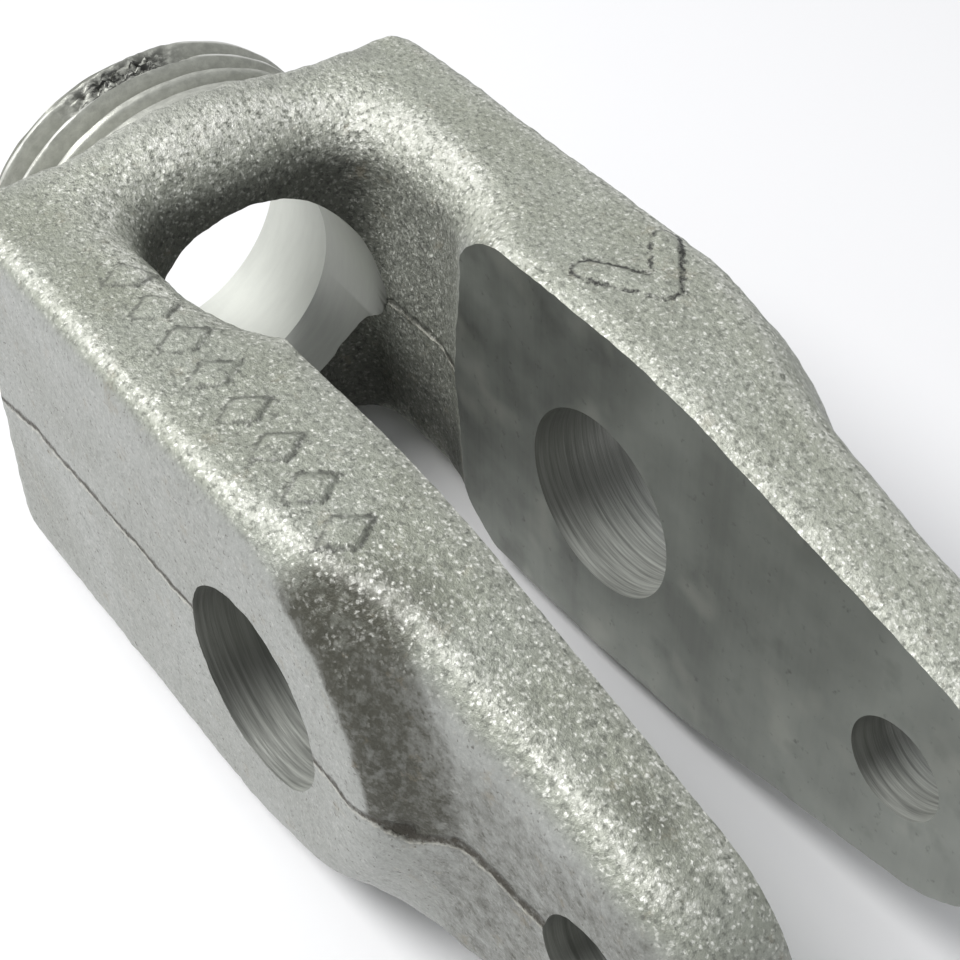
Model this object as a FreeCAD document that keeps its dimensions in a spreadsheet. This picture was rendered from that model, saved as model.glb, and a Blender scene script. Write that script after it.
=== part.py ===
import FreeCAD, Part
import math
import os
import Sketcher

# Clevis rod end: one casting with two arms, a threaded neck, a bored stem and two pin holes.
# X runs along the rod with the arm tips at +X, Y along the pins, Z up.
# The origin is the centre of the large pin hole, midway between the arms.
# Millimetres and degrees.

SIZES = [
    ("pin_bore_dia", 12.7, "large pin hole"),
    ("link_bore_dia", 6.35, "small pin hole near the arm tips"),
    ("bore_spacing", 25.0, "from the large pin hole to the small one"),
    ("slot_width", 14.4, "milled gap between the arms"),
    ("body_width", 34.8, "over the two bosses"),
    ("body_half_height", 13.2, "parting plane to the top, also the radius of the boss end"),
    ("taper_start", 6.0, "from the large pin hole back to the start of the taper"),
    ("blend_radius", 60.0, "between the flat top and the taper"),
    ("tip_radius", 8.7, "round arm tip about the small hole"),
    ("body_rear", 33.7, "from the large hole back to the rear face"),
    ("body_round", 1.8, "outer edges of the body and bosses"),
    ("step_land", 0.1, "straight wall of the boss step, between its rounding and its fillet"),
    ("step_fillet", 1.6, "fillet at the foot of each boss"),
    ("arm_round", 2.6, "outer edges of the end arms"),
    ("neck_dia", 28.0, "over the worn crests of the neck thread"),
    ("neck_length", 9.1, "from the rear face to the end of the neck"),
    ("neck_chamfer", 1.8, "on the end of the neck"),
    ("hump_radius", 4.4, "rounding of the cast hump that carries the neck onto the body"),
    ("throat_rear", 28.3, "from the large hole back to the rear of the throat"),
    ("throat_width", 16.6, "cast throat at the parting plane"),
    ("throat_corner", 4.4, "rear corners of the throat"),
    ("throat_front", 20.0, "from the large hole back to where the throat narrows"),
    ("throat_closing", 12.0, "radius by which the throat narrows into the slot"),
    ("throat_mouth", 10.2, "from the large hole back to where the cast throat ends in the slot"),
    ("throat_draft", 3.0, "draft of the throat walls from the parting plane"),
    ("rim_round", 3.0, "rounding on the rim of the throat"),
    ("slot_run", 15.9, "from the large hole back to the end of the milled slot"),
    ("rod_bore_dia", 17.5, "rod bore through the rear wall"),
    ("rod_bore_stop", 22.8, "from the large hole back to where the rod bore stops"),
    ("counterbore_dia", 21.0, "counterbore in the neck"),
    ("counterbore_depth", 10.0, "from the neck end to the floor of the counterbore"),
]

os.makedirs("parts", exist_ok=True)
doc = FreeCAD.newDocument("clevis_rod_end")

sheet = doc.addObject("Spreadsheet::Sheet", "Dims")
for row, (alias, value, note) in enumerate(SIZES, start=1):
    sheet.set("A%d" % row, alias)
    sheet.set("B%d" % row, str(value))
    sheet.set("C%d" % row, note)
    sheet.setAlias("B%d" % row, alias)
doc.recompute()


def size(alias):
    return float(sheet.get(alias))


def plane(body, role):
    for feature in body.Origin.OriginFeatures:
        if feature.Role == role:
            return feature
    raise RuntimeError("no origin feature " + role)


def new_sketch(body, name, role):
    sketch = body.newObject("Sketcher::SketchObject", name)
    sketch.AttachmentSupport = [(plane(body, role), "")]
    sketch.MapMode = "FlatFace"
    return sketch


def line(sketch, start, end):
    first = FreeCAD.Vector(start[0], start[1], 0)
    last = FreeCAD.Vector(end[0], end[1], 0)
    return sketch.addGeometry(Part.LineSegment(first, last), False)


def arc(sketch, centre, radius, start_deg, end_deg):
    middle = FreeCAD.Vector(centre[0], centre[1], 0)
    circle = Part.Circle(middle, FreeCAD.Vector(0, 0, 1), radius)
    return sketch.addGeometry(
        Part.ArcOfCircle(circle, math.radians(start_deg), math.radians(end_deg)), False)


def hold(sketch, rules):
    for rule in rules:
        sketch.addConstraint(Sketcher.Constraint(*rule))


def bind(sketch, rule, expression):
    index = sketch.addConstraint(Sketcher.Constraint(*rule))
    sketch.setExpression("Constraints[%d]" % index, expression)


def middle_of(edge):
    return edge.valueAt((edge.FirstParameter + edge.LastParameter) / 2)


def faces_at(shape, edge):
    return [face for face in shape.Faces if any(edge.isSame(other) for other in face.Edges)]


# Body with its two bosses: a slab whose front end is round about the pin axis.
blank = doc.addObject("PartDesign::Body", "Blank")
rear = size("body_rear")
top = size("body_half_height")

body_side = new_sketch(blank, "BodySide", "XZ_Plane")
line(body_side, (-rear, -top), (-rear, top))
line(body_side, (-rear, top), (0, top))
arc(body_side, (0, 0), top, -90, 90)
line(body_side, (0, -top), (-rear, -top))
hold(body_side, [
    ("Coincident", 0, 2, 1, 1), ("Tangent", 1, 2, 2, 2), ("Tangent", 2, 1, 3, 1),
    ("Coincident", 3, 2, 0, 1), ("Coincident", 2, 3, -1, 1), ("Vertical", 0), ("Horizontal", 1),
    ("Horizontal", 3),
])
bind(body_side, ("Radius", 2, top), "Dims.body_half_height")
bind(body_side, ("DistanceX", 0, 2, -1, 1, rear), "Dims.body_rear")

body_pad = blank.newObject("PartDesign::Pad", "BodyPad")
body_pad.Profile = body_side
body_pad.SideType = "Symmetric"
body_pad.setExpression("Length", "Dims.body_width")

# Arms: flat top, a large blend into the taper and a round tip about the small hole.
start = size("taper_start")
blend = size("blend_radius")
tip = size("tip_radius")
spacing = size("bore_spacing")
centre_line = math.hypot(spacing + start, blend - top)
lean = math.asin((blend - tip) / centre_line) - math.atan2(blend - top, spacing + start)
blend_end = (-start + blend * math.sin(lean), top - blend + blend * math.cos(lean))
tip_start = (spacing + tip * math.sin(lean), tip * math.cos(lean))
lean_deg = math.degrees(lean)

arm_side = new_sketch(blank, "ArmSide", "XZ_Plane")
line(arm_side, (-rear, -top), (-rear, top))
line(arm_side, (-rear, top), (-start, top))
arc(arm_side, (-start, top - blend), blend, 90 - lean_deg, 90)
line(arm_side, blend_end, tip_start)
arc(arm_side, (spacing, 0), tip, lean_deg - 90, 90 - lean_deg)
line(arm_side, (tip_start[0], -tip_start[1]), (blend_end[0], -blend_end[1]))
arc(arm_side, (-start, blend - top), blend, -90, lean_deg - 90)
line(arm_side, (-start, -top), (-rear, -top))
hold(arm_side, [
    ("Coincident", 0, 2, 1, 1), ("Tangent", 1, 2, 2, 2), ("Tangent", 2, 1, 3, 1),
    ("Tangent", 3, 2, 4, 2), ("Tangent", 4, 1, 5, 1), ("Tangent", 5, 2, 6, 2),
    ("Tangent", 6, 1, 7, 1), ("Coincident", 7, 2, 0, 1), ("Horizontal", 1),
    ("Symmetric", 0, 1, 0, 2, -1), ("Symmetric", 2, 3, 6, 3, -1), ("Equal", 2, 6),
    ("PointOnObject", 4, 3, -1),
])
bind(arm_side, ("DistanceX", 0, 1, -1, 1, rear), "Dims.body_rear")
bind(arm_side, ("DistanceY", -1, 1, 0, 2, top), "Dims.body_half_height")
bind(arm_side, ("DistanceX", 2, 3, -1, 1, start), "Dims.taper_start")
bind(arm_side, ("Radius", 2, blend), "Dims.blend_radius")
bind(arm_side, ("DistanceX", -1, 1, 4, 3, spacing), "Dims.bore_spacing")
bind(arm_side, ("Radius", 4, tip), "Dims.tip_radius")

arm_pad = blank.newObject("PartDesign::Pad", "ArmPad")
arm_pad.Profile = arm_side
arm_pad.SideType = "Symmetric"
arm_pad.setExpression(
    "Length", "Dims.body_width - 2 * (Dims.body_round + Dims.step_land + Dims.step_fillet)")
blank.Tip = arm_pad
doc.recompute()

# Cast roundings: body and boss edges, end arm edges, and the fillet at the foot of each boss.
half_body = size("body_width") / 2
half_arm = half_body - size("body_round") - size("step_land") - size("step_fillet")
near = 0.01


def cast_round(edge):
    middle = middle_of(edge)
    if abs(abs(middle.y) - half_body) < near:
        return size("body_round")
    if abs(abs(middle.y) - half_arm) > near:
        return None
    on_boss = abs(math.hypot(middle.x, middle.z) - top) < near
    return size("step_fillet") if on_boss else size("arm_round")


rounded = doc.addObject("Part::Fillet", "CastEdges")
rounded.Base = blank
rounded.Edges = [(number, cast_round(edge), cast_round(edge))
                 for number, edge in enumerate(blank.Shape.Edges, start=1) if cast_round(edge)]
doc.recompute()

# Throat behind the arms, drafted both ways from the parting plane.
throat = doc.addObject("PartDesign::Body", "Throat")
back = size("throat_rear")
wide = size("throat_width") / 2
corner = size("throat_corner")
front = size("throat_front")
closing = size("throat_closing")
mouth = size("throat_mouth")
sweep = math.acos((front - mouth) / closing)
mouth_half = wide - closing + closing * math.sin(sweep)
sweep_deg = math.degrees(sweep)

plan = new_sketch(throat, "ThroatPlan", "XY_Plane")
line(plan, (-back, corner - wide), (-back, wide - corner))
arc(plan, (corner - back, wide - corner), corner, 90, 180)
line(plan, (corner - back, wide), (-front, wide))
arc(plan, (-front, wide - closing), closing, sweep_deg, 90)
line(plan, (-mouth, mouth_half), (-mouth, -mouth_half))
arc(plan, (-front, closing - wide), closing, -90, -sweep_deg)
line(plan, (-front, -wide), (corner - back, -wide))
arc(plan, (corner - back, corner - wide), corner, 180, 270)
hold(plan, [
    ("Tangent", 0, 2, 1, 2), ("Tangent", 1, 1, 2, 1), ("Tangent", 2, 2, 3, 2),
    ("Coincident", 3, 1, 4, 1), ("Coincident", 4, 2, 5, 2), ("Tangent", 5, 1, 6, 1),
    ("Tangent", 6, 2, 7, 2), ("Tangent", 7, 1, 0, 1), ("Vertical", 0), ("Horizontal", 2),
    ("Symmetric", 4, 1, 4, 2, -1), ("Symmetric", 1, 3, 7, 3, -1), ("Symmetric", 3, 3, 5, 3, -1),
])
bind(plan, ("DistanceX", 0, 1, -1, 1, back), "Dims.throat_rear")
bind(plan, ("DistanceY", -1, 1, 2, 1, wide), "Dims.throat_width / 2")
bind(plan, ("Radius", 1, corner), "Dims.throat_corner")
bind(plan, ("DistanceX", 3, 3, -1, 1, front), "Dims.throat_front")
bind(plan, ("Radius", 3, closing), "Dims.throat_closing")
bind(plan, ("DistanceX", 4, 1, -1, 1, mouth), "Dims.throat_mouth")

throat_pad = throat.newObject("PartDesign::Pad", "ThroatPad")
throat_pad.Profile = plan
throat_pad.SideType = "Two sides"
throat_pad.setExpression("Length", "Dims.body_half_height * 1.5")
throat_pad.setExpression("Length2", "Dims.body_half_height * 1.5")
throat_pad.setExpression("TaperAngle", "Dims.throat_draft * 1 deg")
throat_pad.setExpression("TaperAngle2", "Dims.throat_draft * 1 deg")
throat.Tip = throat_pad
doc.recompute()

opened = doc.addObject("Part::Cut", "Opened")
opened.Base = rounded
opened.Tool = throat
doc.recompute()

# Rim of the throat on the top and the underside, where a steep wall meets the flat.
def on_rim(shape, edge):
    middle = middle_of(edge)
    if abs(abs(middle.z) - top) > near:
        return False
    if middle.x < near - rear or middle.x > near + 1 - mouth or abs(middle.y) > half_arm:
        return False
    tilts = [abs(face.normalAt(*face.Surface.parameter(middle)).z) for face in faces_at(shape, edge)]
    return min(tilts) < 0.5


rim = size("rim_round")
rimmed = doc.addObject("Part::Fillet", "ThroatRim")
rimmed.Base = opened
rimmed.Edges = [(number, rim, rim) for number, edge in enumerate(opened.Shape.Edges, start=1)
                if on_rim(opened.Shape, edge)]
doc.recompute()

# Neck turned about the rod axis, with the cast hump that rolls over into the throat.
neck = doc.addObject("PartDesign::Body", "Neck")
crest = size("neck_dia") / 2
neck_end = rear + size("neck_length")
bevel = size("neck_chamfer")
hump = size("hump_radius")

neck_half = new_sketch(neck, "NeckHalf", "XY_Plane")
line(neck_half, (-neck_end, 0), (-neck_end, crest - bevel))
line(neck_half, (-neck_end, crest - bevel), (bevel - neck_end, crest))
line(neck_half, (bevel - neck_end, crest), (-rear, crest))
arc(neck_half, (-rear, crest - hump), hump, 0, 90)
line(neck_half, (hump - rear, crest - hump), (hump - rear, 0))
line(neck_half, (hump - rear, 0), (-neck_end, 0))
hold(neck_half, [
    ("Coincident", 0, 2, 1, 1), ("Coincident", 1, 2, 2, 1), ("Tangent", 2, 2, 3, 2),
    ("Tangent", 3, 1, 4, 1), ("Coincident", 4, 2, 5, 1), ("Coincident", 5, 2, 0, 1),
    ("Vertical", 0), ("Horizontal", 2), ("Vertical", 4), ("PointOnObject", 0, 1, -1),
    ("Horizontal", 5),
])
bind(neck_half, ("DistanceX", 0, 1, -1, 1, neck_end), "Dims.body_rear + Dims.neck_length")
bind(neck_half, ("DistanceY", -1, 1, 2, 1, crest), "Dims.neck_dia / 2")
bind(neck_half, ("DistanceX", 1, 1, 1, 2, bevel), "Dims.neck_chamfer")
bind(neck_half, ("DistanceY", 1, 1, 1, 2, bevel), "Dims.neck_chamfer")
bind(neck_half, ("DistanceX", 3, 3, -1, 1, rear), "Dims.body_rear")
bind(neck_half, ("Radius", 3, hump), "Dims.hump_radius")

neck_turn = neck.newObject("PartDesign::Revolution", "NeckTurn")
neck_turn.Profile = neck_half
neck_turn.ReferenceAxis = (neck_half, ["H_Axis"])
neck_turn.Angle = 360
neck.Tip = neck_turn

casting = doc.addObject("Part::Fuse", "Casting")
casting.Base = rimmed
casting.Tool = neck

# Machining: the slot between the arms, the two pin holes and the stepped rod bore.
slot = doc.addObject("Part::Box", "MilledSlot")
slot.setExpression("Length", "Dims.slot_run + Dims.bore_spacing + 2 * Dims.tip_radius")
slot.setExpression("Width", "Dims.slot_width")
slot.setExpression("Height", "4 * Dims.body_half_height")
slot.setExpression("Placement.Base.x", "-Dims.slot_run")
slot.setExpression("Placement.Base.y", "-Dims.slot_width / 2")
slot.setExpression("Placement.Base.z", "-2 * Dims.body_half_height")


def pin_hole(name, diameter, offset):
    hole = doc.addObject("Part::Cylinder", name)
    hole.setExpression("Radius", "Dims.%s / 2" % diameter)
    hole.setExpression("Height", "Dims.body_width + 2")
    hole.Placement = FreeCAD.Placement(
        FreeCAD.Vector(0, 0, 0), FreeCAD.Rotation(FreeCAD.Vector(1, 0, 0), -90))
    hole.setExpression("Placement.Base.x", offset)
    hole.setExpression("Placement.Base.y", "-Dims.body_width / 2 - 1")
    return hole


def rod_hole(name, start_x, length):
    hole = doc.addObject("Part::Cylinder", name)
    hole.setExpression("Height", length)
    hole.Placement = FreeCAD.Placement(
        FreeCAD.Vector(0, 0, 0), FreeCAD.Rotation(FreeCAD.Vector(0, 1, 0), -90))
    hole.setExpression("Placement.Base.x", start_x)
    return hole


neck_face = "Dims.body_rear + Dims.neck_length"
rod_bore = rod_hole("RodBore", "-Dims.rod_bore_stop",
                    neck_face + " - Dims.rod_bore_stop + 1")
rod_bore.setExpression("Radius", "Dims.rod_bore_dia / 2")
counterbore = rod_hole("Counterbore", "Dims.counterbore_depth - (" + neck_face + ")",
                       "Dims.counterbore_depth + 1")
counterbore.setExpression("Radius", "Dims.counterbore_dia / 2")

tools = doc.addObject("Part::MultiFuse", "Machining")
tools.Shapes = [
    slot,
    pin_hole("PinBore", "pin_bore_dia", "0"),
    pin_hole("LinkBore", "link_bore_dia", "Dims.bore_spacing"),
    rod_bore,
    counterbore,
]

part = doc.addObject("Part::Cut", "ClevisBody")
part.Base = casting
part.Tool = tools
part.Label = "clevis_body"
doc.recompute()

for item in doc.Objects:
    if "Invalid" in item.State or "Error" in item.State:
        raise RuntimeError(item.Name + " did not recompute")
for item in [blank, rounded, throat, opened, rimmed, neck, casting, tools, part]:
    if item.Shape.isNull() or not item.Shape.isValid():
        raise RuntimeError(item.Name + " has no valid shape")
if len(part.Shape.Solids) != 1:
    raise RuntimeError("the casting is not one solid")

part.Shape.exportStep("parts/" + part.Label + ".step")
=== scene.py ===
import math

import bmesh
import bpy
import numpy as np
from mathutils import Matrix, Vector, noise


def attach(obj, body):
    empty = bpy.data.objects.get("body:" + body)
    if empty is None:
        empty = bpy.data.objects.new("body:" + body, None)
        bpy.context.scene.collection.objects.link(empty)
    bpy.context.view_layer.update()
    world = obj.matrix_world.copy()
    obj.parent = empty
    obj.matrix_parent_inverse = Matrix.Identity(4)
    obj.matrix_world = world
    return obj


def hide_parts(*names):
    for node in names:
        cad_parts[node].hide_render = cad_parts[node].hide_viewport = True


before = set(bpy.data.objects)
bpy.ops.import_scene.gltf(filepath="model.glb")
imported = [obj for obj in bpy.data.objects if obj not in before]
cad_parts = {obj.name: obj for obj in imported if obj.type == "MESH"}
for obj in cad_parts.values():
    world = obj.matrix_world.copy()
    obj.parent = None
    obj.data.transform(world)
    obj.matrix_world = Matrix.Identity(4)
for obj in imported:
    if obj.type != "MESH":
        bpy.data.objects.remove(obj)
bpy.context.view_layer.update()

# Clevis rod end, a rough iron casting that is milled, drilled and threaded.
# The blank is modelled as a distance field in millimetres, with X along the rod and Y along the pins.
# Its skin is meshed and roughened, and the machining is then cut out of it as in the real part.

MM = 0.001
GRID = 0.34  # cell of the grid that the skin is meshed on

# body and arms
TOP = 13.2
RAISED = 0.15  # the arms lie this much above the plane of the pins
HALF_BODY = 17.4
HALF_ARM = 13.55
REAR = -33.7
REAR_STOCK, REAR_LEAN = 0.05, 0.018
REAR_EDGE, REAR_RIM = 2.8, 0.7
TIP_R = 8.6
BLEND_X, BLEND_R = -2.0, 60.0  # large arc between the flat top and the taper of the arms
ARM_EDGE = 2.1

# bosses round the large pin hole, whose sides slope
BOSS_R, BOSS_FLARE, BOSS_FRONT = 11.25, 1.07, 14.8
BOSS_SCALE = 0.683  # turns a width on the slope into a distance from it
BOSS_EDGE, BOSS_FRONT_EDGE, BOSS_FILLET = 1.0, 0.5, 1.7

# hump of the neck and the short collar behind the rear face
CREST = 14.0
HUMP_END, HUMP_ROUND, HUMP_FILLET = -29.3, 4.4, 2.5
COLLAR, COLLAR_EDGE = 0.4, 1.1

# throat with drafted walls, and the rough gap that runs on from it between the arms
THROAT_REAR, THROAT_HALF = -28.3, 8.3
THROAT_DRAFT, THROAT_REAR_DRAFT = math.tan(math.radians(3.0)), 0.03
LOWER_CORNER, MORE_ABOVE = 2.6, 1.8
CLOSING_X, CLOSING_Y, CLOSING_R = -20.0, -3.7, 12.0
GAP_HALF = 5.2
RIM_R = 3.0

# machining
SLOT_HALF, SLOT_START = 7.2, -15.9
PIN_R = 6.35
LINK_X, LINK_R = 25.0, 3.175
ROD_R, ROD_END = 8.75, -26.4
CONE_R, CONE_END = 8.0, -23.4
COUNTER_R, COUNTER_FLOOR = 10.5, -32.8

# thread
NECK_END, NECK_BEVEL = -42.8, 1.6
NECK_FOOT_X, NECK_FOOT_R = -31.5, 12.6  # the neck reaches this far into the casting
PITCH = 2.117
THREAD_TOP = -40.83  # place of a crest at the top of the neck
THREAD_FLAT, THREAD_FLANK, THREAD_DEPTH = 0.14, 0.577, 1.18
CHIP_X, CHIP_ANGLE = -39.8, math.radians(97.0)

# raised marks on the tops of the arms
CHEVRON = ((-5.0, 9.9), (-0.9, 12.4), (-4.6, 15.4))
CHEVRON_HALF = 0.8
LOZENGE_COUNT, LOZENGE_START, LOZENGE_PITCH = 8, -20.6, 3.55
LOZENGE_HALF = (1.15, 1.65)
ROW_X, ROW_Y, ROW_LEAN = -22.0, -11.5, 0.053

# height of the parting line along the outer faces
SEAM = ((-34.0, -0.9), (-31.4, -0.7), (-26.2, 0.4), (-22.5, 0.4), (-17.4, 0.85), (-9.75, 1.0),
        (-5.7, 1.2), (0.0, 0.7), (6.6, 0.3), (9.6, 0.2), (12.0, 0.5), (12.8, -0.1), (13.3, -0.4),
        (14.2, 0.1), (15.4, 0.65), (18.1, 0.6), (19.8, 0.15), (21.6, 0.4), (23.0, 0.0), (36.0, 0.0))


# distance field of the blank
def step(low, high, value):
    t = np.clip((value - low) / (high - low), 0.0, 1.0)
    return t * t * (3.0 - 2.0 * t)


def corner(a, b, r):
    """Where both a and b are inside, with their edge rounded to r."""
    pa = np.maximum(a + r, 0.0)
    pb = np.maximum(b + r, 0.0)
    return np.minimum(np.maximum(a, b), -r) + np.hypot(pa, pb)


def weld(a, b, r):
    """Where a or b is inside, with a fillet of r between them."""
    return -corner(-a, -b, r)


def arm_side(x, az):
    """Side outline of the arms: flat top, a large blend, a straight taper and the round tip."""
    drop, run = BLEND_R - TOP, LINK_X - BLEND_X
    lean = math.asin((BLEND_R - TIP_R) / math.hypot(run, drop)) - math.atan2(drop, run)
    flat = az - TOP
    blend = np.hypot(x - BLEND_X, az - (TOP - BLEND_R)) - BLEND_R
    taper = (x - LINK_X) * math.sin(lean) + az * math.cos(lean) - TIP_R
    tip = np.hypot(x - LINK_X, az) - TIP_R
    angle = np.arctan2(x - BLEND_X, az - (TOP - BLEND_R))
    side = np.where(x < BLEND_X, flat, np.where(angle < lean, blend, taper))
    past = (x - LINK_X) * math.cos(lean) - az * math.sin(lean)
    return np.where(past > 0.0, tip, side)


def between(x, ay, z):
    """The throat and the gap. The rear corners of the throat are sharper below the parting plane."""
    az = np.abs(z)
    fillet = LOWER_CORNER + MORE_ABOVE * step(-3.4, -1.6, z)
    wall = ay - az * THROAT_DRAFT
    back = THROAT_REAR + fillet + THROAT_REAR_DRAFT * az - x
    side = wall - THROAT_HALF + fillet
    box = np.hypot(np.maximum(back, 0.0), np.maximum(side, 0.0))
    box = box + np.minimum(np.maximum(back, side), 0.0) - fillet
    closing = np.hypot(x - CLOSING_X, wall - CLOSING_Y) - CLOSING_R
    return np.where(x > CLOSING_X, np.minimum(closing, ay - GAP_HALF), box)


def blank(p):
    """Distance of the points p from the skin of the blank, negative inside."""
    x, y, z = p[..., 0], p[..., 1], p[..., 2]
    ay, az = np.abs(y), np.abs(z)
    side = arm_side(x, np.abs(z - RAISED))
    rear = REAR - REAR_STOCK - REAR_LEAN * y - x

    # outer faces of the end arms, which lean in a little towards the tips, and of the bosses on them
    outer = HALF_ARM + 0.65 * (1.0 - step(14.0, 21.0, x)) - 0.25 * step(24.0, 34.0, x)
    stadium = np.where(x > 0.0, np.hypot(x, az), az)
    slope = (stadium - (BOSS_R + (HALF_BODY - ay) * BOSS_FLARE)) * BOSS_SCALE
    turn = step(-3.0, 2.5, x)
    boss = corner(slope, ay - HALF_BODY, BOSS_EDGE) * turn + (ay - HALF_BODY) * (1.0 - turn)
    boss = corner(boss, x - BOSS_FRONT, BOSS_FRONT_EDGE)
    sideways = weld(ay - outer, boss, BOSS_FILLET)
    shape = corner(side, sideways, ARM_EDGE - 1.1 * turn + 1.6 * step(4.0, 9.0, x))
    upright = corner(rear, ay - HALF_BODY, REAR_EDGE)
    shape = corner(shape, np.maximum(upright, rear), REAR_RIM)

    # the hump that rolls over into the throat, and its collar
    hump = corner(np.hypot(y, z) - CREST, x - HUMP_END, HUMP_ROUND)
    hump = corner(hump, REAR - COLLAR - x, COLLAR_EDGE)
    shape = weld(shape, hump, HUMP_FILLET)

    # rim of the throat and the gap, wider at the rear and sharper below
    at_rear = 1.0 - step(-30.0, -22.0, x)
    arms = step(-18.0, -12.0, x)
    upper = RIM_R + 0.6 * arms + 1.6 * at_rear
    lower = RIM_R + 1.6 * arms - 1.0 * step(3.0, 9.0, x) - 0.7 * at_rear
    return corner(shape, -between(x, ay, z), np.where(z > 0.0, upper, lower))


def lozenge(dx, dy, half_x, half_y):
    scale = 1.0 / math.hypot(1.0 / half_x, 1.0 / half_y)
    return (np.abs(dx) / half_x + np.abs(dy) / half_y - 1.0) * scale


def stroke(x, y, a, b):
    dx, dy = b[0] - a[0], b[1] - a[1]
    t = np.clip(((x - a[0]) * dx + (y - a[1]) * dy) / (dx * dx + dy * dy), 0.0, 1.0)
    return np.hypot(x - a[0] - t * dx, y - a[1] - t * dy)


def marks(x, y):
    """Distance to the outline of the raised marks, a chevron and a row of lozenges, negative inside."""
    first, tip, last = CHEVRON
    found = np.minimum(stroke(x, y, first, tip), stroke(x, y, tip, last)) - CHEVRON_HALF
    for k in range(LOZENGE_COUNT):
        at = LOZENGE_START + LOZENGE_PITCH * k
        found = np.minimum(found, lozenge(x - at, y - ROW_Y + ROW_LEAN * (at - ROW_X), *LOZENGE_HALF))
    return found


def blob(p, centre, sizes):
    return np.exp(-(((p - np.array(centre)) / np.array(sizes)) ** 2).sum(1))


def grit(p, up):
    """How coarse the cast skin is: 0 on the outer faces, some on the tops, 1 on the hump and in
    the throat."""
    x, ay = p[:, 0], np.abs(p[:, 1])
    inner = (1.0 - step(9.0, 13.5, ay)) * (1.0 - step(-19.0, -13.0, x))
    return np.clip(inner + 0.3 * step(0.3, 0.8, up), 0.0, 1.0)


def above_seam(x, z):
    return z - np.interp(x, [s[0] for s in SEAM], [s[1] for s in SEAM])


def gradient(p, e=0.02):
    g = np.empty_like(p)
    for k, d in enumerate(np.eye(3) * e):
        g[:, k] = (blank(p + d) - blank(p - d)) / (2 * e)
    return g


def unit(g):
    return g / np.maximum(np.linalg.norm(g, axis=1), 1e-6)[:, None]


# meshing
def skin(field, low, h):
    """Quads on the zero level of a sampled field, one vertex in each cell that the level crosses."""
    inside = field < 0.0
    corners = [(i, j, k) for i in (0, 1) for j in (0, 1) for k in (0, 1)]
    nx, ny, nz = (n - 1 for n in field.shape)
    count = sum(inside[i:i + nx, j:j + ny, k:k + nz].astype(np.int8) for i, j, k in corners)
    active = (count > 0) & (count < 8)
    cells = np.argwhere(active)
    number = np.full(active.shape, -1, np.int64)
    number[active] = np.arange(len(cells))
    value = np.stack([field[tuple((cells + corner_at).T)] for corner_at in corners], 1)
    total = np.zeros((len(cells), 3))
    crossings = np.zeros(len(cells))
    for a in range(8):
        for b in range(a + 1, 8):
            if sum(abs(p - q) for p, q in zip(corners[a], corners[b])) != 1:
                continue
            fa, fb = value[:, a], value[:, b]
            hit = (fa < 0) != (fb < 0)
            t = np.where(hit, fa / np.where(hit, fa - fb, 1.0), 0.0)
            point = np.array(corners[a]) + t[:, None] * (np.array(corners[b]) - np.array(corners[a]))
            total += point * hit[:, None]
            crossings += hit
    verts = low + h * (cells + total / crossings[:, None])
    quads = []
    for axis in range(3):
        u, v = (axis + 1) % 3, (axis + 2) % 3
        first = [slice(1, -1)] * 3
        first[axis] = slice(0, -1)
        second = list(first)
        second[axis] = slice(1, None)
        a, b = inside[tuple(first)], inside[tuple(second)]
        for flip, hit in ((False, a & ~b), (True, ~a & b)):
            at = np.argwhere(hit)
            at[:, u] += 1
            at[:, v] += 1
            ring = []
            for du, dv in ((-1, -1), (0, -1), (0, 0), (-1, 0)):
                cell = at.copy()
                cell[:, u] += du
                cell[:, v] += dv
                ring.append(number[cell[:, 0], cell[:, 1], cell[:, 2]])
            ring = np.stack(ring, 1)
            quads.append(ring[:, ::-1] if flip else ring)
    return verts, np.concatenate(quads)


def mesh_from(name, verts, faces):
    mesh = bpy.data.meshes.new(name)
    mesh.from_pydata((np.asarray(verts) * MM).tolist(), [], faces)
    mesh.update()
    return mesh


def solid(name, mesh):
    obj = bpy.data.objects.new(name, mesh)
    bpy.context.scene.collection.objects.link(obj)
    return obj


def waves(p, scale, seed, octaves=2):
    offset = Vector((seed * 17.3, seed * 5.1, seed * 11.7))
    return np.array([noise.fractal(Vector(q) / scale + offset, 0.6, 2.1, octaves) for q in p])


DEEPEST, HIGHEST = -0.22, 0.14


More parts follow.
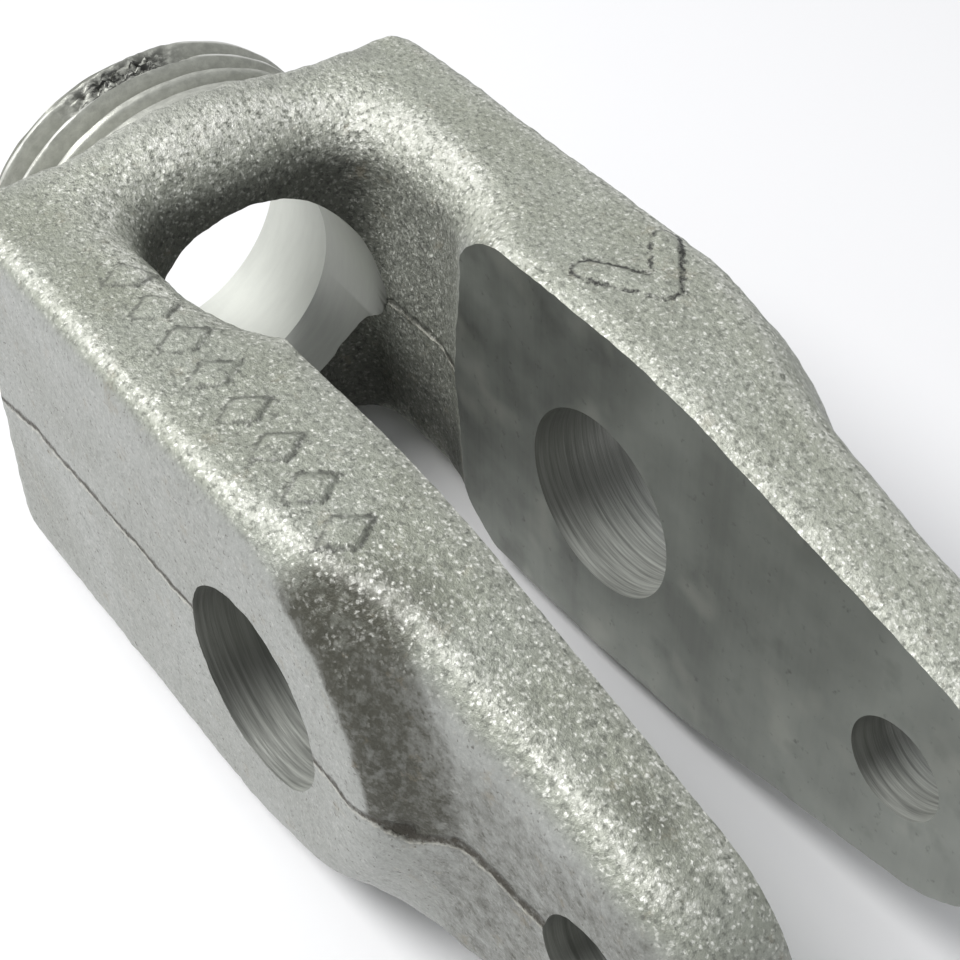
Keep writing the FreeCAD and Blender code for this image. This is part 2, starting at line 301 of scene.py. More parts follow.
def rough_casting():
    """Skin of the blank, drawn onto the field's zero level and then roughened along its normals."""
    low = np.array([REAR - 2.0, -HALF_BODY - 1.0, -CREST - 1.0])
    high = np.array([LINK_X + TIP_R + 1.0, HALF_BODY + 1.0, CREST + 1.0])
    axes = [np.arange(low[k], high[k] + GRID, GRID) for k in range(3)]
    field = np.empty([len(a) for a in axes], np.float64)
    for i, xi in enumerate(axes[0]):
        yy, zz = np.meshgrid(axes[1], axes[2], indexing="ij")
        field[i] = blank(np.stack([np.full_like(yy, xi), yy, zz], -1))
    verts, quads = skin(field, low, GRID)
    for _ in range(3):
        g = gradient(verts)
        verts -= blank(verts)[:, None] * g / np.maximum((g * g).sum(1), 0.2)[:, None]
    normal = unit(gradient(verts))
    x, y, z = verts.T

    # coarse lumps and fine grit, none of it standing out from the widest faces
    coarse = 0.045 + 0.055 * grit(verts, normal[:, 2])
    rough = 0.05 * waves(verts, 2.6, 1, 3) + coarse * waves(verts, 0.95, 2, 2)
    rough = np.clip(rough + 0.09 * waves(verts, 9.0, 3, 1), DEEPEST, HIGHEST)
    widest = step(HALF_BODY - 0.15, HALF_BODY, np.abs(y))
    rough = np.where(rough > 0.0, rough * (1.0 - widest), rough)

    # raised marks, the step at the parting line of the end arms, and a pit beside the large hole
    on_top = step(0.75, 0.95, normal[:, 2])
    rough += 0.13 * on_top * (1.0 - step(-0.3, 0.2, marks(x, y)))
    on_arm = step(12.9, 13.3, np.abs(y)) * step(10.5, 13.0, x)
    rough += 0.16 * on_arm * (1.0 - step(-0.2, 0.2, above_seam(x, z)))
    rough -= 0.40 * blob(verts, (13.1, -15.7, 0.2), (0.7, 0.9, 0.5))
    verts += normal * rough[:, None]
    return verts, quads.tolist()


def turned(profile, segments, name):
    """Closed solid turned about the X axis from (x, radius) points that start and end on the axis."""
    verts, faces, rings = [], [], []
    for x, r in profile:
        if r < 1e-6:
            rings.append([len(verts)])
            verts.append((x, 0.0, 0.0))
            continue
        start = len(verts)
        for s in range(segments):
            a = 2 * math.pi * s / segments
            verts.append((x, r * math.cos(a), r * math.sin(a)))
        rings.append(list(range(start, start + segments)))
    for a, b in zip(rings, rings[1:]):
        for s in range(segments):
            t = (s + 1) % segments
            ring = [a[s % len(a)], a[t % len(a)], b[t % len(b)], b[s % len(b)]]
            faces.append([v for n, v in enumerate(ring) if v not in ring[:n]])
    return mesh_from(name, verts, faces)


def broken(x, angle):
    """How far the first groove of the thread is chipped and smeared, near the top of the neck."""
    along = 1.0 - step(0.12, 0.42, np.abs(angle - CHIP_ANGLE))
    return along * (1.0 - step(0.8, 1.35, np.abs(x - CHIP_X)))


def thread_radius(x, angle):
    top = THREAD_TOP + PITCH * (angle / (2 * math.pi) - 0.25)
    t = (x - top) / PITCH
    t = (t - np.round(t)) * PITCH
    depth = np.clip((np.abs(t) - THREAD_FLAT) / THREAD_FLANK, 0.0, THREAD_DEPTH)
    depth = depth * (1.0 - step(-36.0, -34.9, x))
    run_out = 0.2 * step(-37.2, -35.8, x)
    bevel = np.maximum(NECK_END + NECK_BEVEL - x, 0.0)
    return CREST - 0.02 - np.maximum(np.maximum(depth, bevel), run_out)


def threaded_neck():
    segments = 300
    xs = np.arange(NECK_END, REAR + 0.05, 0.105)
    angle = np.linspace(0, 2 * math.pi, segments, endpoint=False)
    gx, ga = np.meshgrid(xs, angle, indexing="ij")
    r = thread_radius(gx, ga)

    # wear, in patches drawn out round the neck, and the chip
    patches = np.stack([gx * 0.9, r * np.cos(ga) * 0.5, r * np.sin(ga) * 0.5], -1).reshape(-1, 3)
    points = np.stack([gx, r * np.cos(ga), r * np.sin(ga)], -1).reshape(-1, 3)
    worn = np.clip(waves(patches, 1.0, 4, 2), -1.0, 1.0).reshape(r.shape)
    ragged = waves(points, 0.55, 5, 2).reshape(r.shape)
    chipped = broken(gx, ga)
    r = r - 0.03 - 0.05 * worn
    r = r * (1.0 - chipped) + chipped * (CREST - 0.75 + 0.55 * ragged)
    r = np.minimum(r, CREST)

    verts = np.stack([gx, r * np.cos(ga), r * np.sin(ga)], -1).reshape(-1, 3)
    rows = len(xs)
    faces = []
    for i in range(rows - 1):
        here, beyond = i * segments, (i + 1) * segments
        for s in range(segments):
            t = (s + 1) % segments
            faces.append((here + s, here + t, beyond + t, beyond + s))
    foot = np.stack([np.full(segments, NECK_FOOT_X), NECK_FOOT_R * np.cos(angle),
                     NECK_FOOT_R * np.sin(angle)], -1)
    middles = np.array([(NECK_END, 0.0, 0.0), (NECK_FOOT_X, 0.0, 0.0)])
    last, base = (rows - 1) * segments, len(verts)
    verts = np.concatenate([verts, foot, middles])
    end, inner_end = base + segments, base + segments + 1
    for s in range(segments):
        t = (s + 1) % segments
        faces.append((s, end, t))
        faces.append((last + s, last + t, base + t, base + s))
        faces.append((base + s, base + t, inner_end))
    return mesh_from("neck", verts, faces)


def drill(name, radius, x, segments):
    """Cutter for a pin hole, along Y and well past both arms."""
    mesh = turned([(-25.0, 0.0), (-25.0, radius), (25.0, radius), (25.0, 0.0)], segments, name)
    mesh.transform(Matrix.Translation((x * MM, 0, 0)) @ Matrix.Rotation(math.pi / 2, 4, "Z"))
    return solid(name, mesh)


def mill():
    """Cutter for the slot, from its start to well past the tips of the arms."""
    length = 60.0
    mesh = bpy.data.meshes.new("slot")
    bm = bmesh.new()
    bmesh.ops.create_cube(bm, size=1.0)
    bmesh.ops.scale(bm, vec=Vector((length, 2 * SLOT_HALF, length)) * MM, verts=bm.verts)
    bmesh.ops.translate(bm, vec=Vector((SLOT_START + length / 2, 0, 0)) * MM, verts=bm.verts)
    bm.to_mesh(mesh)
    bm.free()
    return solid("slot", mesh)


def rod_bore():
    """Cutter for the counterbore and the rod bore, which ends in a short cone."""
    profile = [(-50.0, 0.0), (-50.0, COUNTER_R), (COUNTER_FLOOR, COUNTER_R), (COUNTER_FLOOR, ROD_R),
               (ROD_END, ROD_R), (CONE_END, CONE_R), (CONE_END, 0.0)]
    return solid("bore", turned(profile, 160, "bore"))


def outward(mesh):
    bm = bmesh.new()
    bm.from_mesh(mesh)
    bmesh.ops.recalc_face_normals(bm, faces=bm.faces)
    bm.to_mesh(mesh)
    bm.free()


def machined():
    """The blank with its neck, after milling, boring and drilling."""
    cast = solid("cast_blank", mesh_from("cast_blank", *rough_casting()))
    neck = solid("neck_blank", threaded_neck())
    slot = mill()
    pin = drill("pin", PIN_R, 0.0, 128)
    link = drill("link", LINK_R, LINK_X, 96)
    tools = (neck, slot, rod_bore(), pin, link)
    for obj in (cast,) + tools:
        outward(obj.data)
    for tool in tools:
        cut = cast.modifiers.new(tool.name, "BOOLEAN")
        cut.operation = "UNION" if tool is neck else "DIFFERENCE"
        cut.solver = "MANIFOLD"
        cut.object = tool
    graph = bpy.context.evaluated_depsgraph_get()
    mesh = bpy.data.meshes.new_from_object(cast.evaluated_get(graph))
    for obj in (cast,) + tools:
        bpy.data.objects.remove(obj)
    return mesh


mesh = machined()
mesh.name = "clevis_casting"
casting = solid("clevis_casting", mesh)


def vectors(items, name):
    """Three numbers of each polygon or vertex, a row for each."""
    values = np.empty(len(items) * 3)
    items.foreach_get(name, values)
    return values.reshape(-1, 3)


def near(value, target, tolerance=0.03):
    return np.abs(value - target) < tolerance


# which face is which, found by its place and its normal
CAST, MILLED, BORED, THREAD, DEEP, ROD = range(6)
count = len(mesh.polygons)
cx, cy, cz = (vectors(mesh.polygons, "center") / MM).T
facing = vectors(mesh.polygons, "normal")
along_x, along_y = np.abs(facing[:, 0]), np.abs(facing[:, 1])
around_x = np.hypot(cy, cz)
kind = np.full(count, CAST, np.int32)
kind[near(np.abs(cy), SLOT_HALF, 0.004) & (along_y > 0.999) & (cx > SLOT_START)] = MILLED
for hole_x, hole_r in ((0.0, PIN_R), (LINK_X, LINK_R)):
    kind[near(np.hypot(cx - hole_x, cz), hole_r) & (along_y < 0.05)] = BORED
kind[near(around_x, ROD_R) & (along_x < 0.05) & (cx < ROD_END + 0.1)] = ROD
cone_r = ROD_R - (ROD_R - CONE_R) / (CONE_END - ROD_END) * (cx - ROD_END)
on_cone = (cx > ROD_END - 0.1) & (cx < CONE_END + 0.1) & (facing[:, 0] < 0.3)
kind[near(around_x, cone_r) & on_cone] = ROD
kind[near(around_x, COUNTER_R) & (cx < COUNTER_FLOOR + 0.1)] = DEEP
kind[near(cx, COUNTER_FLOOR, 0.02) & (along_x > 0.9) & (around_x < COUNTER_R)] = DEEP
crest_limit = np.where(cx > REAR - 1.2, CREST - 0.15, CREST + 0.05)
on_neck = (cx < REAR - COLLAR) & (around_x > COUNTER_R + 0.02)
kind[on_neck & (around_x < crest_limit)] = THREAD
mesh.polygons.foreach_set("use_smooth", np.ones(count, bool))

bm = bmesh.new()
bm.from_mesh(mesh)
for edge in bm.edges:
    if len(edge.link_faces) == 2:
        a, b = edge.link_faces
        if kind[a.index] != kind[b.index] or edge.calc_face_angle(0.0) > math.radians(50):
            edge.smooth = False
bm.to_mesh(mesh)
bm.free()


# what the materials read at each vertex
def attribute(name, values, low=0.0, high=1.0):
    layer = mesh.attributes.new(name, "FLOAT", "POINT")
    layer.data.foreach_set("value", np.ascontiguousarray(np.clip(values, low, high), np.float32))


place = vectors(mesh.vertices, "co") / MM
vx, vy, vz = place.T
ay = np.abs(vy)
bend = -blank(place)
for d in np.eye(3) * 0.9:
    bend += (blank(place + d) + blank(place - d)) / 6.0
lean = unit(gradient(place))
upward = lean[:, 2]

# rubbed edges of the tops and rim of the throat, paler partly from wear and partly as a painted highlight
# where the rounding turns towards the light
rubbed_and_highlit = np.clip(bend / 0.06, 0.0, 1.0) * np.exp(-((upward - 0.90) / 0.085) ** 2)
past_wall = between(vx, ay, vz) - 1.2 - 1.1 * (1.0 - step(-30.0, -26.0, vx))
# paler rim of the throat, partly wear and partly painted highlight, weaker on the near side and at the
# rear
rim = np.exp(-(past_wall / 0.95) ** 2) * step(9.5, 11.5, vz) * (1.0 - step(-13.0, -10.5, vx))
rim *= (1.0 - 0.6 * step(2.0, 6.0, -vy)) * (1.0 - 0.55 * step(-24.0, -17.0, vx))
attribute("edge", rubbed_and_highlit + rim)
attribute("grit", grit(place, upward))

# painted shade in the throat, darker low down and on its rear wall, and the faced ring round the neck
in_throat = (1.0 - step(8.6, 9.6, ay)) * step(-31.0, -29.6, vx) * (1.0 - step(-16.0, -13.0, vx))
rear_wall = step(0.25, 0.8, lean[:, 0])
on_walls = (0.62 + 0.30 * rear_wall) * (1.0 - step(9.6, 12.9, vz))
attribute("throat_shade", in_throat * np.maximum(1.0 - step(-9.0, 5.0, vz), on_walls))
faced = (1.0 - step(-33.4, -30.8, vx)) * step(10.0, 12.0, np.hypot(vy, vz))
attribute("turned", faced * (1.0 - step(13.0, 15.0, ay)))

# brown stain in front of the near boss, on the arm below it and in the pit; on the slope in front of the
# boss and on the arm beyond it the stain is partly painted shade of the boss
from_pin = np.hypot(vx, vz)
stain_and_shade = step(11.0, 11.5, from_pin) * (1.0 - step(13.8, 18.6, from_pin)) * step(2.5, 5.5, vx)
stain_and_shade *= step(13.2, 14.4, -vy) * step(-0.6, 0.5, above_seam(vx, vz)) * (1.0 - 0.5 * step(11.0, 13.4, vz))
stain_and_shade += 0.9 * blob(place, (8.8, -13.6, 11.8), (2.6, 2.2, 2.5))
stain_and_shade += 1.5 * blob(place, (13.1, -15.7, 0.1), (0.8, 1.0, 0.6))
# outer face of the arm beyond the boss, darkened partly as dirt and partly as painted shade of the boss
arm_dirt_and_shade = step(11.0, 17.0, vx) * step(12.6, 13.2, -vy) * (1.0 - step(5.0, 9.0, vz))
stain_and_shade = np.maximum(stain_and_shade, 0.5 * arm_dirt_and_shade)
stain_and_shade = np.maximum(stain_and_shade, 0.45 * blob(place, (24.5, -9.6, 8.8), (2.2, 1.4, 2.0)))
attribute("stain_and_shade", stain_and_shade)

# parting line on the outer faces and on the walls of the throat, and the raised marks
outside = (ay > 12.9) | (vx > 30.5)
on_wall = (ay > 6.0) & (ay < 9.5) & (vx > -25.0) & (vx < -15.0)
wall_line = np.where(on_wall, vz + 0.2 - 0.07 * (vx + 24.0), 3.0)
attribute("seam", np.where(outside, above_seam(vx, vz), wall_line), -3.0, 3.0)
attribute("mark", np.where(upward > 0.6, marks(vx, vy), 2.0), -2.0, 2.0)

# depth in the thread, its chip, and how low and forward a point lies in its pin hole
attribute("groove", (CREST - np.hypot(vy, vz)) / THREAD_DEPTH)
attribute("chipped", broken(vx, np.arctan2(vz, vy)))
by_link = vx > LINK_X - 6.0
hole_x, hole_r = np.where(by_link, LINK_X, 0.0), np.where(by_link, LINK_R, PIN_R)
attribute("lower", (0.45 * (vx - hole_x) - 0.9 * vz) / hole_r, -1.5, 1.5)


# materials, whose textures are laid out in millimetres
class Nodes:
    def __init__(self, name):
        self.material = bpy.data.materials.new(name)
        self.material.use_nodes = True
        self.tree = self.material.node_tree
        self.tree.nodes.clear()
        out = self.add("ShaderNodeOutputMaterial")
        self.shader = self.add("ShaderNodeBsdfPrincipled")
        self.link(self.shader.outputs[0], out.inputs["Surface"])
        where = self.add("ShaderNodeTexCoord")
        scale = self.add("ShaderNodeVectorMath", operation="SCALE")
        scale.inputs["Scale"].default_value = 1.0 / MM
        self.link(where.outputs["Object"], scale.inputs[0])
        self.mm = scale.outputs[0]
        self.parts = None

    def add(self, kind, **settings):
        node = self.tree.nodes.new(kind)
        for key, value in settings.items():
            setattr(node, key, value)
        return node

    def link(self, a, b):
        self.tree.links.new(a, b)

    def put(self, socket, value):
        if hasattr(value, "is_output"):
            self.link(value, socket)
        else:
            socket.default_value = value

    def read(self, name):
        node = self.add("ShaderNodeAttribute", attribute_type="GEOMETRY")
        node.attribute_name = name
        return node.outputs["Fac"]

    def noise(self, scale, detail=3.0, rough=0.5, vector=None):
        node = self.add("ShaderNodeTexNoise")
        self.link(vector if vector is not None else self.mm, node.inputs["Vector"])
        for key, number in (("Scale", scale), ("Detail", detail), ("Roughness", rough)):
            node.inputs[key].default_value = number
        return node.outputs["Fac"]

    def cells(self, scale, vector):
        node = self.add("ShaderNodeTexVoronoi")
        self.link(vector, node.inputs["Vector"])
        node.inputs["Scale"].default_value = scale
        return node

    def stretch(self, factors):
        node = self.add("ShaderNodeVectorMath", operation="MULTIPLY")
        self.link(self.mm, node.inputs[0])
        node.inputs[1].default_value = factors
        return node.outputs[0]

    def warped(self, amount):
        """Places that a coarse noise has shifted by the amount in millimetres."""
        shift = self.add("ShaderNodeTexNoise")
        self.link(self.mm, shift.inputs["Vector"])
        shift.inputs["Scale"].default_value = 2.0
        moved = self.add("ShaderNodeVectorMath", operation="SCALE")
        self.link(shift.outputs["Color"], moved.inputs[0])
        moved.inputs["Scale"].default_value = amount
        total = self.add("ShaderNodeVectorMath", operation="ADD")
        self.link(self.mm, total.inputs[0])
        self.link(moved.outputs[0], total.inputs[1])
        return total.outputs[0]

    def math(self, operation, *values, clamp=False):
        node = self.add("ShaderNodeMath", operation=operation, use_clamp=clamp)
        for socket, value in zip(node.inputs, values):
            self.put(socket, value)
        return node.outputs[0]

    def times(self, a, b, clamp=False):
        return self.math("MULTIPLY", a, b, clamp=clamp)

    def plus(self, a, b):
        return self.math("ADD", a, b)

    def absolute(self, a):
        return self.math("ABSOLUTE", a)

    def swing(self, a, amount):
        """A noise that swings about zero."""
        return self.times(self.math("SUBTRACT", a, 0.5), amount)

    def span(self, value, low, high, to_low=0.0, to_high=1.0, smooth=False):
        node = self.add("ShaderNodeMapRange", interpolation_type="SMOOTHSTEP" if smooth else "LINEAR")
        self.link(value, node.inputs["Value"])
        for key, number in zip(("From Min", "From Max", "To Min", "To Max"), (low, high, to_low, to_high)):
            node.inputs[key].default_value = number
        return node.outputs["Result"]

    def mix(self, factor, a, b):
        node = self.add("ShaderNodeMix", data_type="RGBA", blend_type="MIX")
        self.put(node.inputs[0], factor)
        self.put(node.inputs[6], a)
        self.put(node.inputs[7], b)
        return node.outputs[2]

    def bump(self, height, distance, strength=1.0, under=None):
        node = self.add("ShaderNodeBump")
        node.inputs["Strength"].default_value = strength
        node.inputs["Distance"].default_value = distance * MM
        self.link(height, node.inputs["Height"])
        if under is not None:
            self.link(under, node.inputs["Normal"])
        return node.outputs["Normal"]

    def axis(self, name):
        if self.parts is None:
            self.parts = self.add("ShaderNodeSeparateXYZ")
            self.link(self.mm, self.parts.inputs[0])
        return self.parts.outputs[name]

    def finish(self, colour, metal, roughness, normal):
        inputs = self.shader.inputs
        self.put(inputs["Base Color"], colour)
        self.put(inputs["Metallic"], metal)
        self.put(inputs["Roughness"], roughness)
        self.put(inputs["Normal"], normal)
        return self.material


BRIGHTEN, PALEST = 1.08, 0.97


def tone(v, red=0.99, blue=0.90):
    """A grey of about the value v, with a little less or more of red and blue."""
    v = min(BRIGHTEN * v, PALEST)
    return (v * red, v, v * blue, 1.0)


def cast_iron():
    n = Nodes("cast_iron")
    edge, stain_and_shade, throat_shade, grit = n.read("edge"), n.read("stain_and_shade"), n.read("throat_shade"), n.read("grit")
    seam, mark, turned = n.read("seam"), n.read("mark"), n.read("turned")
    lumps = n.noise(1.2, 3.0, 0.6)
    grain = n.noise(2.7, 4.0, 0.65)
    fine = n.noise(5.6, 3.0, 0.65)
    broad = n.noise(0.13, 3.0, 0.55)

    # base tones: outer faces, tops, hump and throat; the yellower tone of the tops against the bluer outer
    # faces is painted light, and a painted pool of light brightens the top of the far arm
    side = n.mix(n.span(broad, 0.35, 0.65), tone(0.34, 0.98, 0.93), tone(0.39, 0.98, 0.95))
    top = n.mix(n.span(broad, 0.35, 0.65), tone(0.335, 0.96, 0.82), tone(0.385, 0.96, 0.86))
    colour = n.mix(n.span(grit, 0.0, 0.3), side, top)
    colour = n.mix(n.span(grit, 0.4, 1.0, 0.0, 0.6), colour, tone(0.58, 0.97, 0.86))
    # painted pool of light on the top of the far arm, brighter outwards and towards the tip
    far_top_painted_light = n.plus(n.span(n.axis("Y"), -2.0, 8.0, 0.0, 0.20), n.span(n.axis("X"), 0.0, 14.0, 0.0, 0.22))
    far_top_painted_light = n.times(n.times(far_top_painted_light, n.span(n.axis("Y"), -2.0, 4.0)), n.span(grit, 0.0, 0.3))
    colour = n.mix(far_top_painted_light, colour, tone(0.60, 0.97, 0.86))

    # dark grain, large pits and small ones
    dark = n.times(n.span(grain, 0.50, 0.34), n.span(grit, 0.0, 0.4, 0.30, 0.75))
    colour = n.mix(dark, colour, tone(0.15, 0.97, 0.88))
    pits = n.cells(1.5, n.warped(0.6))
    pit = n.times(n.span(pits.outputs["Distance"], 0.20, 0.09), n.span(lumps, 0.50, 0.60))
    pit = n.times(pit, n.span(grit, 0.0, 0.3, 0.75, 0.35))
    colour = n.mix(pit, colour, tone(0.09, 1.05, 0.85))
    small = n.cells(2.7, n.warped(0.9))
    pit = n.span(small.outputs["Distance"], 0.26, 0.14)
    pit = n.times(pit, n.span(small.outputs["Color"], 0.55, 0.62))
    colour = n.mix(n.times(pit, n.span(grit, 0.0, 0.3, 0.7, 0.25)), colour, tone(0.11, 1.05, 0.85))

    # painted shade in the throat, the frayed stain, which is partly painted shade of the near boss, and a
    # little rust
    # painted shade deep in the throat
    colour = n.mix(n.times(throat_shade, 0.80), colour, tone(0.025))
    frayed = n.plus(n.plus(stain_and_shade, n.swing(lumps, 1.2)), n.swing(grain, 1.4))
    # brown stain, partly painted shade of the near boss
    dirt_and_shade = n.times(n.span(frayed, 0.05, 1.05), n.span(stain_and_shade, 0.02, 0.25))
    colour = n.mix(n.times(dirt_and_shade, 0.95), colour, tone(0.06, 1.03, 0.74))
    rust = n.times(n.span(n.noise(0.55, 4.0, 0.7), 0.60, 0.72), 0.35)
    colour = n.mix(rust, colour, tone(0.24, 1.18, 0.70))

    # rubbed edges with a painted highlight on them, bright flakes that are painted glints, and the faced
    # ring round the neck
    # bright flakes, painted glints on the grains
    glint_cells = n.cells(3.9, n.warped(0.5))
    painted_glint = n.span(glint_cells.outputs["Color"], 0.38, 0.78)
    painted_glint = n.times(painted_glint, n.span(glint_cells.outputs["Distance"], 0.66, 0.24))
    painted_glint = n.times(painted_glint, n.span(fine, 0.38, 0.58, 0.3, 1.25))
    painted_glint = n.times(painted_glint, n.span(grain, 0.38, 0.52))
    # rubbed edges, paler partly from wear and partly as a painted highlight
    worn = n.times(edge, n.span(grain, 0.34, 0.56))
    worn = n.times(worn, n.span(lumps, 0.38, 0.56, 0.45, 1.0))
    worn = n.times(worn, n.span(grit, 0.3, 1.0, 0.65, 0.95))
    colour = n.mix(worn, colour, tone(0.78, 1.0, 0.92))
    # how strong the painted glints are: strongest on rubbed edges, on the tops towards the front and on
    # the hump, and dimmed in the painted shade of the throat and in the stain
    forward = n.span(n.axis("X"), -18.0, 4.0, 0.35, 0.70)
    shine = n.plus(n.span(edge, 0.0, 0.7, 0.12, 0.78), n.times(n.span(grit, 0.0, 0.3), forward))
    shine = n.plus(shine, n.span(grit, 0.4, 1.0, 0.0, 0.6))
    shine = n.times(shine, n.span(throat_shade, 0.4, 1.0, 1.0, 0.15))
    shine = n.times(shine, n.span(stain_and_shade, 0.3, 1.0, 1.0, 0.6))
    colour = n.mix(n.times(painted_glint, shine, clamp=True), colour, tone(0.95, 1.0, 0.93))
    colour = n.mix(n.times(turned, 0.6), colour, tone(0.35, 0.98, 0.90))

    # dark ragged outline of the raised marks
    ragged = n.swing(grain, 0.9)
    outline = n.absolute(n.plus(n.math("SUBTRACT", mark, 0.10), ragged))
    bold = n.span(n.axis("Y"), 0.0, 1.0, 0.62, 1.0)
    ink = n.times(n.span(outline, 0.24, 0.05), n.span(lumps, 0.38, 0.52, 0.25, 1.0))
    colour = n.mix(n.times(ink, bold), colour, tone(0.06))

    # parting line, a dark crack with a pale lip below it
    along = n.plus(seam, n.plus(n.swing(lumps, 0.6), n.times(ragged, 0.35)))
    wide = n.span(n.axis("X"), 9.0, 12.0, 1.6, 1.8)
    crack = n.span(n.math("DIVIDE", n.absolute(along), wide), 0.19, 0.06)
    lip = n.span(n.absolute(n.plus(along, 0.30)), 0.22, 0.05)
    ridge = n.times(n.span(grain, 0.4, 0.6, 0.15, 0.6), n.span(grit, 0.3, 1.0, 1.0, 1.5))
    colour = n.mix(n.times(lip, ridge, clamp=True), colour, tone(0.66, 1.02, 0.88))
    line = n.times(n.span(grain, 0.32, 0.5, 0.45, 1.0), n.span(grit, 0.3, 1.0, 1.0, 0.4))
    colour = n.mix(n.times(crack, line), colour, tone(0.06, 1.1, 0.8))

    relief = n.bump(n.times(n.noise(2.1, 4.0, 0.66), n.span(grit, 0.0, 1.0, 0.55, 1.5)), 0.22, 0.8)
    relief = n.bump(n.times(fine, n.span(grit, 0.0, 1.0, 0.7, 1.5)), 0.06, 0.8, relief)
    relief = n.bump(n.span(mark, -0.15, 0.25, 1.0, 0.0), 0.10, 1.0, relief)
    relief = n.bump(n.math("SUBTRACT", lip, n.times(crack, 1.5)), 0.07, 1.0, relief)
    return n.finish(colour, 0.45, n.span(fine, 0.40, 0.68, 0.64, 0.38), relief)


def milled_iron():
    """Fine upright cutter lines under pale and dark clouds, paler towards the tips."""
    n = Nodes("milled_iron")
    lines = n.noise(1.0, 3.0, 0.6, n.stretch((2.6, 1.0, 0.06)))
    blotch = n.noise(0.14, 4.0, 0.5)
    spots = n.noise(1.4, 3.0, 0.6)
    colour = n.mix(n.span(blotch, 0.38, 0.62), tone(0.205, 0.95, 0.92), tone(0.37, 0.95, 0.92))
    colour = n.mix(n.span(n.axis("X"), -16.0, 26.0, 0.0, 0.36), colour, tone(0.62, 0.97, 0.93))
    colour = n.mix(n.span(n.noise(0.22, 2.0, 0.5), 0.54, 0.70, 0.0, 0.38), colour, tone(0.60))
    colour = n.mix(n.span(n.noise(0.31, 3.0, 0.5), 0.42, 0.26, 0.0, 0.34), colour, tone(0.10))
    colour = n.mix(n.span(lines, 0.3, 0.7, 0.0, 0.10), colour, tone(0.55))
    colour = n.mix(n.span(spots, 0.62, 0.74, 0.0, 0.5), colour, tone(0.14))
    return n.finish(colour, 0.8, n.span(blotch, 0.3, 0.7, 0.38, 0.50), n.bump(lines, 0.012, 0.5))


def bored_iron(name, stretch, low, high, shine, relief, metal=0.9, shade_along_x=None, shade=0.0):
    """Tool marks drawn out by stretch, from the tone low to high. In a pin hole it darkens by shade, a
    painted shade away from the light; in the rod bore it darkens over a range of X, a painted shade
    towards the throat."""
    n = Nodes(name)
    tool_marks = n.noise(1.0, 4.0, 0.65, n.stretch(stretch))
    colour = n.mix(n.span(tool_marks, 0.36, 0.64), tone(low, 0.98, 0.93), tone(high, 0.98, 0.93))
    if shade:
        colour = n.mix(n.span(n.read("lower"), 0.95, 0.2, 0.0, shade, smooth=True), colour, tone(0.11))
    # painted shade over a range of X in the rod bore
    if shade_along_x:
        colour = n.mix(n.span(n.axis("X"), *shade_along_x, 0.0, 0.75, smooth=True), colour, tone(0.06))
    return n.finish(colour, metal, n.span(tool_marks, 0.3, 0.7, *shine), n.bump(tool_marks, relief, 0.6))


def threaded_iron():
    """Painted highlights on the crests, painted shade in the grooves and the black smear of the chip."""
    n = Nodes("threaded_iron")
    groove, chipped = n.read("groove"), n.read("chipped")
    grain = n.noise(3.5, 4.0, 0.65, n.stretch((1.0, 0.4, 0.4)))
    fine = n.noise(9.0, 3.0, 0.6)
    colour = n.mix(n.span(grain, 0.35, 0.65), tone(0.41), tone(0.54))
    # painted highlight along the crests
    colour = n.mix(n.span(groove, 0.07, 0.02, 0.0, 0.8), colour, tone(0.85, 1.0, 0.95))
    # painted shade deep in the grooves
    colour = n.mix(n.span(groove, 0.45, 0.95, 0.0, 0.45), colour, tone(0.22))
    colour = n.mix(n.times(chipped, n.span(grain, 0.62, 0.44)), colour, tone(0.035))
    relief = n.bump(fine, 0.03, 0.6, n.bump(grain, 0.05, 0.5))
    return n.finish(colour, 0.45, n.span(fine, 0.35, 0.7, 0.55, 0.40), relief)


materials = {
    CAST: cast_iron(),
    MILLED: milled_iron(),
    BORED: bored_iron("bored_iron", (0.16, 4.6, 0.16), 0.34, 0.70, (0.28, 0.42), 0.04,
                      metal=0.6, shade=0.76),
    THREAD: threaded_iron(),
    # the counterbore's pale tone is painted light from its open end
    DEEP: bored_iron("counterbored_iron_painted_light", (1.2, 0.3, 0.3), 0.58, 0.62, (0.50, 0.58), 0.005,
                     metal=0.3),
    # the rod bore's dark tone and its darkening towards the throat are painted shade
    ROD: bored_iron("rod_bore_iron_painted_shade", (1.6, 0.3, 0.3), 0.29, 0.33, (0.40, 0.48), 0.01,
                    shade_along_x=(-27.6, -24.0)),
}
mesh.materials.clear()
for index in sorted(materials):
    mesh.materials.append(materials[index])
mesh.polygons.foreach_set("material_index", kind)

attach(casting, "root")
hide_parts("clevis_body")

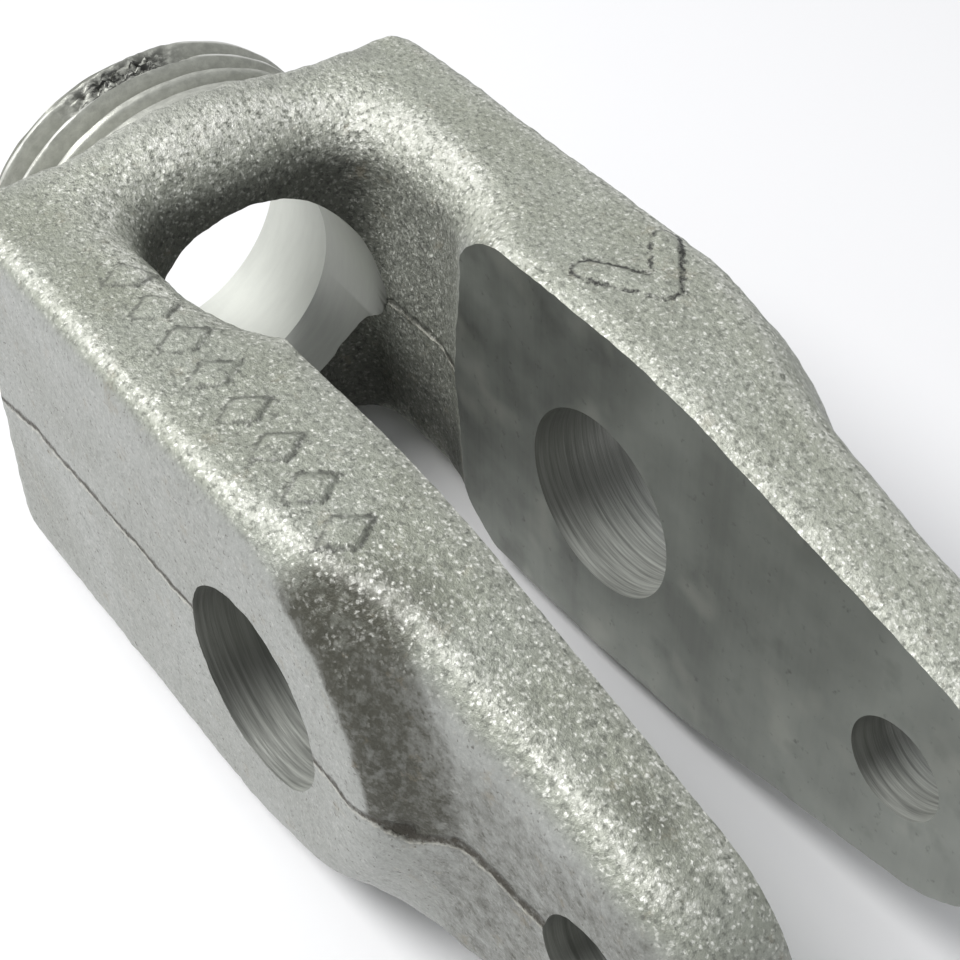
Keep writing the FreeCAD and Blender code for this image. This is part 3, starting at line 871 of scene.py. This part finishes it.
# floor, just under the rough skin of the hump, and soft light all round
SKIN_BELOW = 0.28
scene = bpy.context.scene
scene.view_settings.view_transform = "Standard"
floor_mesh = bpy.data.meshes.new("floor")
floor_mesh.from_pydata([(-3, -3, 0), (3, -3, 0), (3, 3, 0), (-3, 3, 0)], [], [(0, 1, 2, 3)])
floor = solid("floor", floor_mesh)
floor.location = (0, 0, -(CREST + SKIN_BELOW) * MM)
paint = bpy.data.materials.new("floor")
paint.use_nodes = True
face = paint.node_tree.nodes["Principled BSDF"]
face.inputs["Base Color"].default_value = (0.97, 0.965, 0.975, 1)
face.inputs["Roughness"].default_value = 0.6
face.inputs["Specular IOR Level"].default_value = 0.2
floor_mesh.materials.append(paint)

world = bpy.data.worlds.new("studio")
world.use_nodes = True
background = world.node_tree.nodes["Background"]
background.inputs["Color"].default_value = (0.96, 0.98, 1.0, 1)
background.inputs["Strength"].default_value = 0.48
scene.world = world

# one soft lamp, above and behind the neck on the left of the picture
KEY_PLACE = Vector((-0.17, -0.20, 0.36))
lamp = bpy.data.lights.new("key", "AREA")
lamp.shape = "DISK"
lamp.size = 0.22
lamp.energy = 1.62
key = bpy.data.objects.new("key", lamp)
key.location = KEY_PLACE
key.rotation_mode = "QUATERNION"
key.rotation_quaternion = (-KEY_PLACE).to_track_quat("-Z", "Y")
scene.collection.objects.link(key)

# camera at the photograph's viewing angle
CAMERA_PLACE = Vector((64.2, -47.1, 81.9)) * MM
azimuth, elevation, roll = (math.radians(v) for v in (54.63, 43.586, -0.954))
ahead = Vector((-math.sin(azimuth) * math.cos(elevation), math.cos(azimuth) * math.cos(elevation),
                -math.sin(elevation)))
level = Vector((math.cos(azimuth), math.sin(azimuth), 0))
steep = level.cross(ahead)
right = level * math.cos(roll) + steep * math.sin(roll)
up = steep * math.cos(roll) - level * math.sin(roll)
lens = bpy.data.cameras.new("camera")
lens.sensor_width = 36.0
lens.lens = 72.77
lens.clip_start = 0.005
lens.clip_end = 20.0
camera = bpy.data.objects.new("camera", lens)
turn = Matrix((right, up, -ahead)).transposed().to_4x4()
camera.matrix_world = Matrix.Translation(CAMERA_PLACE) @ turn
scene.collection.objects.link(camera)
scene.camera = camera
